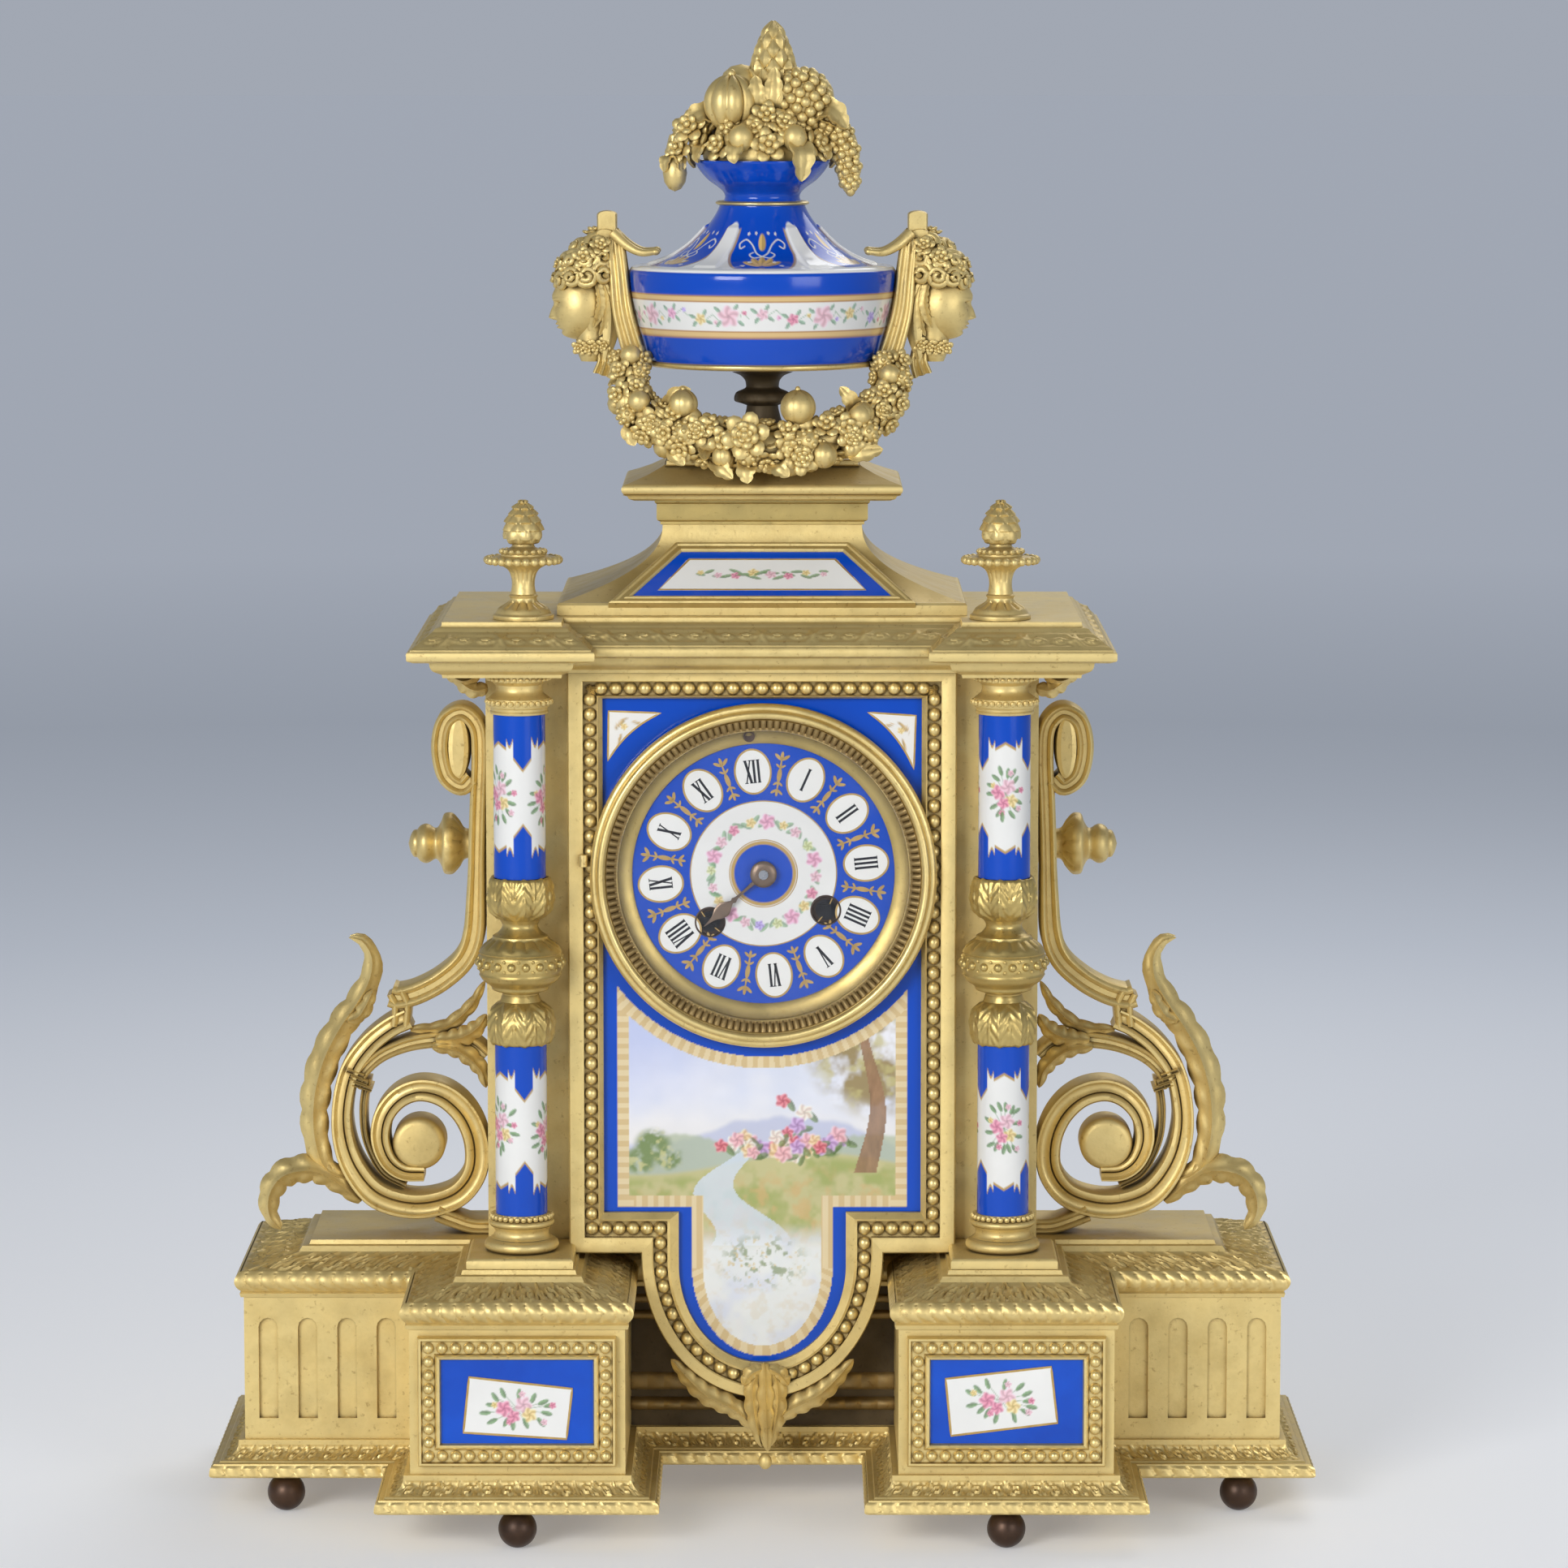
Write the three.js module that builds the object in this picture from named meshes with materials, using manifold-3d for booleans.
// Mantel clock: a gilt metal case with painted porcelain panels, columns and urn, and a round
// eight-day striking movement. Millimetres, the front faces -Y, Z is up, and the origin lies
// under the middle of the base, on the surface that the clock stands on.
import * as THREE from "three";
import { mergeVertices } from "three/addons/utils/BufferGeometryUtils.js";
import Module from "manifold-3d";

const wasm = await Module();
wasm.setup();

// General clearances and wall thicknesses
const CLEARANCE = 0.3;
const CASE_WALL = 3;
const MERGE_TOLERANCE = 1e-4;

// Base: a long block with a pedestal in front of each column, a lower moulding and a cap
const FOOT_HEIGHT = 11.5;
const FOOT_RADIUS = 5.9;
const FOOT_FLAT_RADIUS = 3;
const BASE_WIDTH = 324;
const BASE_BACK = 64;
const WING_FRONT = -16;
const WING_FOOT_INSET = 13;
const RECESS_FRONT = 2;
const PEDESTAL_INNER = 41.7;
const PEDESTAL_OUTER = 107.5;
const PEDESTAL_FRONT = -64;
const SKIRT_HEIGHT = 10.5;
const SKIRT_OVERHANG = 10.6;
const DIE_HEIGHT = 45;
const CAP_HEIGHT = 15.2;
const CAP_OVERHANG = 2.6;
const CAP_SLOPE = 15.6;
const WING_SLOPE_STRETCH = 1.28;
const FLUTES = 4;
const FLUTE_WIDTH = 6;
const FLUTE_PITCH = 12.3;
const FLUTE_HEIGHT = 32;
const FLUTE_DEPTH = 1.6;
const PLAQUE_WIDTH = 56;
const PLAQUE_HEIGHT = 34;
const PLAQUE_THICKNESS = 2.6;
const PLAQUE_RAISE = 1.8;

// Body: the hollow box that holds the movement
const BODY_WIDTH = 171;
const BODY_FRONT = -14;
const BODY_BACK = 58;
const BODY_HEIGHT = 182;
const DOOR_BORE_RADIUS = 44;

// Front frame and its porcelain panel, a wide field with a round-ended tongue below
const FRAME_WIDTH = 120;
const FRAME_DEPTH = 9;
const FRAME_TRAY = 2;
const OPENING_WIDTH = 98.4;
const OPENING_TOP_MARGIN = 8.5;
const OPENING_BOTTOM_MARGIN = 12.8;
const TONGUE_WIDTH = 75.4;
const TONGUE_DROP = 45.8;
const TONGUE_OPENING_WIDTH = 52;
const TONGUE_OPENING_STRAIGHT = 4;
const TONGUE_OPENING_DROP = 30.8;
const PANEL_THICKNESS = 3.2;
const PENDANT_DROP = 20;

// Dial, its surround and the glazed bezel
const DIAL_X = 0.4;
const DIAL_DROP = 63.1;
const DIAL_TURN = 5.9;
const DIAL_RADIUS = 43.2;
const DIAL_THICKNESS = 2.2;
const DIAL_SIGHT_RADIUS = 41;
const SURROUND_RADIUS = 48.4;
const SURROUND_THICKNESS = 2.2;
const BEZEL_RADIUS = 53.5;
const BEZEL_BORE_RADIUS = 45.6;
const BEZEL_DEPTH = 6;
const GLASS_THICKNESS = 1.4;
const GLASS_DOME = 1.8;
const HOUR_HAND_LENGTH = 24.5;
const HOUR_HAND_ANGLE = 228.5;
const HAND_HUB_RADIUS = 4;
const HAND_THICKNESS = 0.8;
const HINGE_KNUCKLE_RADIUS = 1.7;
const HINGE_PIN_RADIUS = 0.8;
const HINGE_KNUCKLE_LENGTH = 9;

// Movement
const PLATE_RADIUS = 46;
const PLATE_THICKNESS = 2;
const PLATE_GAP = 32;
const PILLAR_RADIUS = 2.6;
const PILLAR_CIRCLE = 39.5;
const PILLAR_ANGLES = [30, 150, 250, 290];
const BARREL_RADIUS = 16;
const BARREL_WHEEL_RADIUS = 17.4;
const BARREL_LENGTH = 15;
const BARREL_SPREAD = 18;
const BARREL_DROP = 13.4;
const WINDER_RADIUS = 3.2;
const WINDER_SQUARE = 3.6;
const WINDER_PROUD = 0.5;
const WINDING_HOLE_RADIUS = 4.3;
const ARBOR_RADIUS = 1.1;
const CANNON_RADIUS = 1.5;
const HOUR_PIPE_RADIUS = 2.9;
const CENTRE_WHEEL_RADIUS = 12.5;
const ESCAPE_RISE = 20;
const ESCAPE_WHEEL_RADIUS = 7.5;
const ESCAPE_TEETH = 15;
const ANCHOR_RISE = 33;
const PALLET_GAP = 1.8;
const ESCAPE_SETBACK = 8;
const PALLET_THICKNESS = 1.9;
const REGULATOR_RISE = 43.1;
const REGULATOR_RADIUS = 0.9;
const PENDULUM_LENGTH = 0.5714 * BODY_HEIGHT;
const BOB_RADIUS = 14;
const BOB_THICKNESS = 6;
const BELL_RADIUS = 31;
const BELL_HEIGHT = 14;
const BELL_WALL = 1.6;
const BELL_STANDOFF = 14;
const BELL_CENTRE_X = 8;
const BELL_CENTRE_Z = -6;
const BELL_STUD_RADIUS = 1.2;
const HAMMER_HEAD_RADIUS = 3;
const HAMMER_REST_GAP = 1;
const HAMMER_PIVOT_X = -30;
const HAMMER_PIVOT_Z = -22;
const DOOR_RADIUS = 47;
const DOOR_THICKNESS = 1.8;
const KNOB_RADIUS = 4;

// Columns, from the square base up to the capital
const COLUMN_X = 74.4;
const COLUMN_Y = -31;
const ABACUS_SIZE = 33;
const ABACUS_HEIGHT = 3.3;
const COLUMN_BASE_HEIGHT = 0.0637 * BODY_HEIGHT;
const COLUMN_BASE_RADIUS = 11.3;
const SLEEVE_RADIUS = 8;
const SLEEVE_BORE_RADIUS = 3;
const LOWER_SLEEVE_HEIGHT = 0.2912 * BODY_HEIGHT;
const KNOP_HEIGHT = 0.284 * BODY_HEIGHT;
const KNOP_RADIUS = 13.2;
const LEAF_CUP_RADIUS = 10.4;
const KNOP_NECK_RADIUS = 5.6;
const UPPER_SLEEVE_HEIGHT = 0.278 * BODY_HEIGHT;
const CAPITAL_RADIUS = 10.8;
const ROD_RADIUS = 2;
const ROD_NUT_RADIUS = 4.4;
const ROD_NUT_HEIGHT = 3;

// Cornice and roof
const CORNICE_HEIGHT = 17.1;
const CORNICE_OVERHANG = 10.6;
const CORNICE_SIDE = 97;
const CORNICE_FRONT = -27;
const CORNICE_BACK = 60;
const RESSAUT_INNER = 61.2;
const RESSAUT_FRONT = -42;
const ROOF_WIDTH = 126;
const ROOF_DEPTH = 90;
const ROOF_Y = 24;
const ROOF_STRIP_HEIGHT = 4;
const ROOF_HEIGHT = 22;
const ROOF_CURVE = 2.4;
const NECK_WIDTH = 66;
const NECK_DEPTH = 44;
const NECK_HEIGHT = 8.2;
const PLATFORM_WIDTH = 86.8;
const PLATFORM_DEPTH = 64;
const PLATFORM_HEIGHT = 5;
const STEP_WIDTH = 59.4;
const STEP_DEPTH = 40;
const STEP_RISE = 7;
const ROOF_PLAQUE_LOW_WIDTH = 81;
const ROOF_PLAQUE_HIGH_WIDTH = 50;
const ROOF_PLAQUE_BOTTOM = 1.6;
const ROOF_PLAQUE_HEIGHT = 12.2;
const ROOF_PLAQUE_THICKNESS = 2.4;

// Finials and side bosses
const FINIAL_X = 72.9;
const FINIAL_HEIGHT = 36;
const FINIAL_BASE_RADIUS = 8.2;
const FINIAL_DISH_RADIUS = 12;
const FINIAL_CONE_RADIUS = 6.3;
const BOSS_Y = 32;
const BOSS_HEIGHT = 0.6676 * BODY_HEIGHT;
const BOSS_LENGTH = 26;
const BOSS_RADIUS = 9.4;

// Scroll brackets at the sides of the body
const SCROLL_DEPTH = 14;
const SCROLL_LEAF_DEPTH = 9;
const SCROLL_Y = 15;
const SCROLL_BAND = 5.5;
const SCROLL_EYE_RADIUS = 8;
const SCROLL_EYE_X = 22.8;
const SCROLL_EYE_RISE = 28;
const VOLUTE_DROP = 27;
const VOLUTE_REACH = 9.4;
const VOLUTE_HALF_WIDTH = 7.6;
const VOLUTE_HALF_HEIGHT = 12.8;

// Urn with its fruit, side masks and garland
const URN_Y = 25;
const URN_STEM_HEIGHT = 27.2;
const URN_FOOT_RADIUS = 15;
const URN_BELLY_RADIUS = 42.2;
const URN_BELLY_HEIGHT = 29.5;
const URN_SHOULDER_HEIGHT = 22;
const URN_NECK_RADIUS = 13.4;
const CUP_HEIGHT = 13.5;
const CUP_RIM_RADIUS = 21.3;
const CUP_WALL = 2.2;
const FRUIT_HEIGHT = 43.5;
const FRUIT_RADIUS = 31;
const MASK_RISE = 29;
const MASK_HEAD = [8.5, 10, 15];
const MASK_STAND = 11.5;
const GARLAND_LUMPS = 13;
const GARLAND_RADIUS = 9.6;

// Levels that stack on each other
const skirtBottom = FOOT_HEIGHT;
const dieBottom = skirtBottom + SKIRT_HEIGHT;
const dieTop = dieBottom + DIE_HEIGHT;
const baseTop = dieTop + CAP_HEIGHT;
const bodyTop = baseTop + BODY_HEIGHT;
const corniceTop = bodyTop + CORNICE_HEIGHT;
const roofStripTop = corniceTop + ROOF_STRIP_HEIGHT;
const roofTop = roofStripTop + ROOF_HEIGHT;
const neckTop = roofTop + NECK_HEIGHT;
const platformTop = neckTop + PLATFORM_HEIGHT;
const stepTop = platformTop + STEP_RISE;
const bellyBottom = stepTop + URN_STEM_HEIGHT;
const bellyTop = bellyBottom + URN_BELLY_HEIGHT;
const urnNeck = bellyTop + URN_SHOULDER_HEIGHT;
const cupTop = urnNeck + CUP_HEIGHT;
const dialZ = bodyTop - DIAL_DROP;

// Depths, from the body's front face towards the viewer and back into the movement
const frameFront = BODY_FRONT - FRAME_DEPTH;
const trayFront = BODY_FRONT - FRAME_TRAY;
const panelFront = trayFront - CLEARANCE - PANEL_THICKNESS;
const surroundBack = panelFront - CLEARANCE;
const surroundFront = surroundBack - SURROUND_THICKNESS;
const dialBack = surroundBack + DIAL_THICKNESS - CLEARANCE;
const dialFront = dialBack - DIAL_THICKNESS + 2 * CLEARANCE;
const frontPlateFront = dialBack + CLEARANCE;
const frontPlateBack = frontPlateFront + PLATE_THICKNESS;
const backPlateFront = frontPlateBack + PLATE_GAP;
const backPlateBack = backPlateFront + PLATE_THICKNESS;
const bezelBack = frameFront - CLEARANCE;
const bezelFront = bezelBack - BEZEL_DEPTH;
const pendulumY = backPlateBack + 6;
const bellMouth = backPlateBack + BELL_STANDOFF;
const handBack = dialFront - 1.6;
const handFront = handBack - HAND_THICKNESS;
const arborTip = handFront - 1.6;

// Materials
const GILT = { color: 0xbe9e58, roughness: 0.42, metalness: 0.9 };
const BRASS = { color: 0xb08d4a, roughness: 0.35, metalness: 0.95 };
const STEEL = { color: 0x8c9096, roughness: 0.35, metalness: 0.9 };
const WHITE_PORCELAIN = { color: 0xf1efe8, roughness: 0.15, metalness: 0 };
const BLUE_PORCELAIN = { color: 0x0b3bb0, roughness: 0.12, metalness: 0 };
const BROWN = { color: 0x4a2f1d, roughness: 0.5, metalness: 0.2 };
const GLASS = { color: 0xe8f0f2, roughness: 0.03, metalness: 0, transparent: true, opacity: 0.25 };

// Helpers that turn geometries into solids and back, join them and cut them
function toSolid(geometry) {
  const bare = geometry.clone();
  bare.deleteAttribute("normal");
  bare.deleteAttribute("uv");
  const merged = geometry.userData.welded ? bare : mergeVertices(bare, MERGE_TOLERANCE);
  const vertProperties = new Float32Array(merged.attributes.position.array);
  const triVerts = new Uint32Array(merged.index.array);
  return new wasm.Manifold(new wasm.Mesh({ numProp: 3, vertProperties, triVerts }));
}

function toGeometry(solid) {
  const { vertProperties, triVerts } = solid.getMesh();
  const geometry = new THREE.BufferGeometry();
  geometry.setAttribute("position", new THREE.BufferAttribute(new Float32Array(vertProperties), 3));
  geometry.setIndex(Array.from(triVerts));
  geometry.userData.welded = true;
  return geometry;
}

function join(...geometries) {
  return toGeometry(geometries.map(toSolid).reduce((sum, solid) => sum.add(solid)));
}

function cut(geometry, ...tools) {
  return toGeometry(tools.map(toSolid).reduce((rest, tool) => rest.subtract(tool), toSolid(geometry)));
}

// Basic solids: a block between two corners, turned shapes about each axis, and flat plates
function block([x0, y0, z0], [x1, y1, z1]) {
  const geometry = new THREE.BoxGeometry(x1 - x0, y1 - y0, z1 - z0);
  return geometry.translate((x0 + x1) / 2, (y0 + y1) / 2, (z0 + z1) / 2);
}

function lathe(profile, segments) {
  return new THREE.LatheGeometry(profile.map(([r, h]) => new THREE.Vector2(r, h)), segments);
}

function turnedUp(profile, segments, [x, y, z] = [0, 0, 0]) {
  return lathe(profile, segments).rotateX(Math.PI / 2).translate(x, y, z);
}

function turnedBack(profile, segments, [x, z] = [0, 0]) {
  return lathe(profile, segments).translate(x, 0, z);
}

function rodBack(radius, y0, y1, [x, z], segments = 8) {
  return turnedBack([[0, y0], [radius, y0], [radius, y1], [0, y1]], segments, [x, z]);
}

function tubeBack(outer, inner, y0, y1, [x, z], segments = 12) {
  const profile = [[inner, y0], [outer, y0], [outer, y1], [inner, y1], [inner, y0]];
  return turnedBack(profile, segments, [x, z]);
}

function rodUp(radius, z0, z1, [x, y], segments = 8) {
  return turnedUp([[0, z0], [radius, z0], [radius, z1], [0, z1]], segments, [x, y, 0]);
}

// A flat outline drawn in X and Z, standing between two depths
function standing(shape, front, back) {
  const options = { depth: back - front, bevelEnabled: false };
  return new THREE.ExtrudeGeometry(shape, options).rotateX(Math.PI / 2).translate(0, back, 0);
}

function shapeOf(points) {
  return new THREE.Shape(points.map(([x, z]) => new THREE.Vector2(x, z)));
}

// Corners of an ellipse, or of a circle where only one radius is given
function ellipse([x, z], halfWidth, halfHeight, count) {
  return Array.from({ length: count }, (_, corner) => {
    const angle = (2 * Math.PI * corner) / count;
    return [x + halfWidth * Math.cos(angle), z + halfHeight * Math.sin(angle)];
  });
}

// A smooth ribbon of constant width along points in X and Z
function ribbon(points, width, front, back, steps, tipWidth = width) {
  const curve = new THREE.CatmullRomCurve3(points.map(([x, z]) => new THREE.Vector3(x, z, 0)));
  const left = [];
  const right = [];
  for (let step = 0; step <= steps; step++) {
    const share = step / steps;
    const at = curve.getPointAt(share);
    const along = curve.getTangentAt(share);
    const half = (width + (tipWidth - width) * share) / 2;
    left.push([at.x - along.y * half, at.y + along.x * half]);
    right.push([at.x + along.y * half, at.y - along.x * half]);
  }
  return standing(shapeOf([...right, ...left.reverse()]), front, back);
}

// A closed outline through points, smoothed
function leafShape(points, steps) {
  const curve = new THREE.CatmullRomCurve3(points.map(([x, z]) => new THREE.Vector3(x, z, 0)), true);
  return shapeOf(curve.getPoints(steps).slice(0, -1).map(({ x, y }) => [x, y]));
}

// A round bar along points in space
function bar(points, radius, steps, sides = 8) {
  const path = new THREE.CatmullRomCurve3(points.map((point) => new THREE.Vector3(...point)));
  const section = new THREE.Shape();
  for (let side = 0; side < sides; side++) {
    const angle = (2 * Math.PI * side) / sides;
    const method = side ? "lineTo" : "moveTo";
    section[method](radius * Math.cos(angle), radius * Math.sin(angle));
  }
  return new THREE.ExtrudeGeometry(section, { steps, extrudePath: path, bevelEnabled: false });
}

function lump([x, y, z], [rx, ry, rz], detail = 1) {
  return new THREE.IcosahedronGeometry(1, detail).scale(rx, ry, rz).translate(x, y, z);
}

function capIndex(ring, first, facesUp) {
  const contour = ring.map(([x, y]) => new THREE.Vector2(x, y));
  const triangles = THREE.ShapeUtils.triangulateShape(contour, []);
  return triangles.flatMap(([a, b, c]) => (facesUp ? [a, b, c] : [a, c, b]).map((i) => i + first));
}

// A mitred moulding: outline(offset) gives the corners at that offset, and each level is
// [offset, height]. A closed moulding is a ring whose section runs back to its first level.
function moulding(outline, levels, closed = false) {
  const rings = levels.map(([offset, z]) => outline(offset).map(([x, y]) => [x, y, z]));
  const count = rings[0].length;
  const bands = closed ? levels.length : levels.length - 1;
  const index = [];
  for (let level = 0; level < bands; level++) {
    const below = level * count;
    const above = ((level + 1) % levels.length) * count;
    for (let corner = 0; corner < count; corner++) {
      const next = (corner + 1) % count;
      index.push(below + corner, below + next, above + next);
      index.push(below + corner, above + next, above + corner);
    }
  }
  if (!closed) {
    index.push(...capIndex(rings[0], 0, false));
    index.push(...capIndex(rings.at(-1), bands * count, true));
  }
  const geometry = new THREE.BufferGeometry();
  geometry.setAttribute("position", new THREE.Float32BufferAttribute(rings.flat(2), 3));
  geometry.setIndex(index);
  return geometry.toNonIndexed();
}

function rectangle([x0, x1], [y0, y1]) {
  return (o) => [
    [x1 + o, y1 + o],
    [x0 - o, y1 + o],
    [x0 - o, y0 - o],
    [x1 + o, y0 - o],
  ];
}

// Where something on the dial or in the movement lies, which stands a little turned in the case
function onDial(x, z) {
  const turn = THREE.MathUtils.degToRad(DIAL_TURN);
  const across = x * Math.cos(turn) - z * Math.sin(turn);
  const up = x * Math.sin(turn) + z * Math.cos(turn);
  return [DIAL_X + across, dialZ + up];
}

const leftWinder = onDial(-BARREL_SPREAD, -BARREL_DROP);
const rightWinder = onDial(BARREL_SPREAD, -BARREL_DROP);

const part = new THREE.Group();
part.name = "mantel_clock";

function add(name, geometry, finish, mirrored = false) {
  const mesh = new THREE.Mesh(geometry, new THREE.MeshStandardMaterial(finish));
  mesh.name = name;
  mesh.scale.x = mirrored ? -1 : 1;
  part.add(mesh);
}

// A pair of pieces, made once for the right side and mirrored for the left
function addPair(name, make, finish) {
  add(`left_${name}`, make(), finish, true);
  add(`right_${name}`, make(), finish);
}

// The plan of the base: wings at the sides, a pedestal on each side of the centre recess
function basePlan(offset) {
  const wing = BASE_WIDTH / 2 + (offset < 0 ? offset * WING_SLOPE_STRETCH : offset);
  const right = [
    [PEDESTAL_INNER - offset, RECESS_FRONT - offset],
    [PEDESTAL_INNER - offset, PEDESTAL_FRONT - offset],
    [PEDESTAL_OUTER + offset, PEDESTAL_FRONT - offset],
    [PEDESTAL_OUTER + offset, WING_FRONT - offset],
    [wing, WING_FRONT - offset],
    [wing, BASE_BACK + offset],
  ];
  const left = right.map(([x, y]) => [-x, y]).reverse();
  return [...right, ...left];
}

function baseSkirt() {
  const o = SKIRT_OVERHANG;
  const h = SKIRT_HEIGHT;
  const section = [
    [0.9 * o, 0],
    [o, 0.1 * h],
    [o, 0.3 * h],
    [0.88 * o, 0.42 * h],
    [0.6 * o, 0.5 * h],
    [0.28 * o, 0.68 * h],
    [0.12 * o, 0.88 * h],
    [0.12 * o, h],
    [-CASE_WALL, h],
    [-CASE_WALL, 0],
  ];
  return moulding(basePlan, section.map(([offset, z]) => [offset, skirtBottom + z]), true);
}

function baseCap() {
  const o = CAP_OVERHANG;
  const h = CAP_HEIGHT;
  const levels = [
    [0, 0],
    [0.5 * o, 0.07 * h],
    [0.5 * o, 0.15 * h],
    [o, 0.25 * h],
    [o, 0.48 * h],
    [0.3 * o, 0.56 * h],
    [-0.35 * CAP_SLOPE, 0.66 * h],
    [-0.75 * CAP_SLOPE, 0.76 * h],
    [-CAP_SLOPE, 0.86 * h],
    [-CAP_SLOPE, h],
  ];
  const solid = moulding(basePlan, levels.map(([offset, z]) => [offset, dieTop + z]));
  return cut(solid, ...[-1, 1].map((side) => {
    return rodUp(ROD_RADIUS + CLEARANCE, dieTop - 1, baseTop + 1, [side * COLUMN_X, COLUMN_Y]);
  }));
}

function fluteCutter(x) {
  const half = FLUTE_WIDTH / 2;
  const bottom = dieBottom + (DIE_HEIGHT - FLUTE_HEIGHT) / 2;
  const top = bottom + FLUTE_HEIGHT - half;
  const arch = ellipse([x, top], half, half, 12).slice(0, 7);
  const shape = shapeOf([[x - half, bottom], [x + half, bottom], ...arch]);
  return standing(shape, WING_FRONT - 1, WING_FRONT + FLUTE_DEPTH);
}

function baseBlock() {
  const plan = (offset) => {
    const wing = BASE_WIDTH / 2 + offset;
    const right = [
      [PEDESTAL_INNER - offset, RECESS_FRONT - offset],
      [PEDESTAL_INNER - offset, WING_FRONT - offset],
      [wing, WING_FRONT - offset],
      [wing, BASE_BACK + offset],
    ];
    return [...right, ...right.map(([x, y]) => [-x, y]).reverse()];
  };
  const section = [[0, dieBottom], [0, dieTop], [-CASE_WALL, dieTop], [-CASE_WALL, dieBottom]];
  const middle = (PEDESTAL_OUTER + CAP_OVERHANG + BASE_WIDTH / 2) / 2;
  const cutters = [];
  for (let flute = 0; flute < FLUTES; flute++) {
    const x = middle + (flute - (FLUTES - 1) / 2) * FLUTE_PITCH;
    cutters.push(fluteCutter(x), fluteCutter(-x));
  }
  return cut(moulding(plan, section, true), ...cutters);
}

function pedestal() {
  const back = WING_FRONT - CLEARANCE;
  const plan = rectangle([PEDESTAL_INNER, PEDESTAL_OUTER], [PEDESTAL_FRONT, back]);
  const section = [[0, dieBottom], [0, dieTop], [-CASE_WALL, dieTop], [-CASE_WALL, dieBottom]];
  const centre = (PEDESTAL_INNER + PEDESTAL_OUTER) / 2;
  const half = PLAQUE_WIDTH / 2 + CLEARANCE;
  const bottom = dieBottom + (DIE_HEIGHT - PLAQUE_HEIGHT) / 2 - CLEARANCE;
  const depth = PLAQUE_THICKNESS - PLAQUE_RAISE + CLEARANCE;
  const bed = block(
    [centre - half, PEDESTAL_FRONT - 1, bottom],
    [centre + half, PEDESTAL_FRONT + depth, bottom + PLAQUE_HEIGHT + 2 * CLEARANCE],
  );
  return cut(moulding(plan, section, true), bed);
}

function pedestalPlaque() {
  const centre = (PEDESTAL_INNER + PEDESTAL_OUTER) / 2;
  const half = PLAQUE_WIDTH / 2;
  const bottom = dieBottom + (DIE_HEIGHT - PLAQUE_HEIGHT) / 2;
  const front = PEDESTAL_FRONT - PLAQUE_RAISE;
  return block(
    [centre - half, front, bottom],
    [centre + half, front + PLAQUE_THICKNESS, bottom + PLAQUE_HEIGHT],
  );
}

function ballFoot(x, y) {
  const r = FOOT_RADIUS;
  const h = FOOT_HEIGHT;
  const profile = [
    [0, 0],
    [FOOT_FLAT_RADIUS, 0],
    [0.85 * r, 0.16 * h],
    [r, 0.42 * h],
    [0.82 * r, 0.72 * h],
    [0.55 * r, 0.86 * h],
    [0.8 * r, h],
    [0, h],
  ];
  return turnedUp(profile, 14, [x, y, 0]);
}

// The feet stand under the skirt, in the middle of its width where it is a single wall
const skirtMiddle = (0.9 * SKIRT_OVERHANG - CASE_WALL) / 2;

function pedestalFoot() {
  return ballFoot((PEDESTAL_INNER + PEDESTAL_OUTER) / 2, PEDESTAL_FRONT - skirtMiddle);
}

function wingFoot() {
  return ballFoot(BASE_WIDTH / 2 - WING_FOOT_INSET, WING_FRONT - skirtMiddle);
}

function backFoot() {
  return ballFoot(BASE_WIDTH / 2 - WING_FOOT_INSET, BASE_BACK + skirtMiddle);
}

function bodyShell() {
  const half = BODY_WIDTH / 2;
  const outer = block([-half, BODY_FRONT, baseTop], [half, BODY_BACK, bodyTop]);
  const inner = block(
    [-half + CASE_WALL, BODY_FRONT + CASE_WALL, baseTop + CASE_WALL],
    [half - CASE_WALL, BODY_BACK - CASE_WALL, bodyTop - CASE_WALL],
  );
  const centre = [DIAL_X, dialZ];
  const frontBore = rodBack(PLATE_RADIUS + 1, BODY_FRONT - 1, BODY_FRONT + CASE_WALL + 1, centre, 24);
  const backBore = rodBack(DOOR_BORE_RADIUS, BODY_BACK - CASE_WALL - 1, BODY_BACK + 1, centre, 24);
  return cut(outer, inner, frontBore, backBore);
}

// The half ellipse at the foot of the tongue, from its right side round to its left
function tongueCurve(halfWidth, drop, level, steps) {
  const points = [];
  for (let step = 0; step <= steps; step++) {
    const angle = (Math.PI * step) / steps;
    points.push([halfWidth * Math.cos(angle), level - drop * Math.sin(angle)]);
  }
  return points;
}

function frameOutline() {
  const half = FRAME_WIDTH / 2;
  const tongue = tongueCurve(TONGUE_WIDTH / 2, TONGUE_DROP, baseTop, 24);
  return [[-half, baseTop], [-half, bodyTop], [half, bodyTop], [half, baseTop], ...tongue];
}

function openingOutline(gap = 0) {
  const half = OPENING_WIDTH / 2 - gap;
  const top = bodyTop - OPENING_TOP_MARGIN - gap;
  const shoulder = baseTop + OPENING_BOTTOM_MARGIN + gap;
  const level = baseTop - TONGUE_OPENING_STRAIGHT;
  const tongue = tongueCurve(TONGUE_OPENING_WIDTH / 2 - gap, TONGUE_OPENING_DROP - gap, level, 24);
  const side = TONGUE_OPENING_WIDTH / 2 - gap;
  const field = [[-half, shoulder], [-half, top], [half, top], [half, shoulder]];
  return [...field, [side, shoulder], ...tongue, [-side, shoulder]];
}

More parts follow.
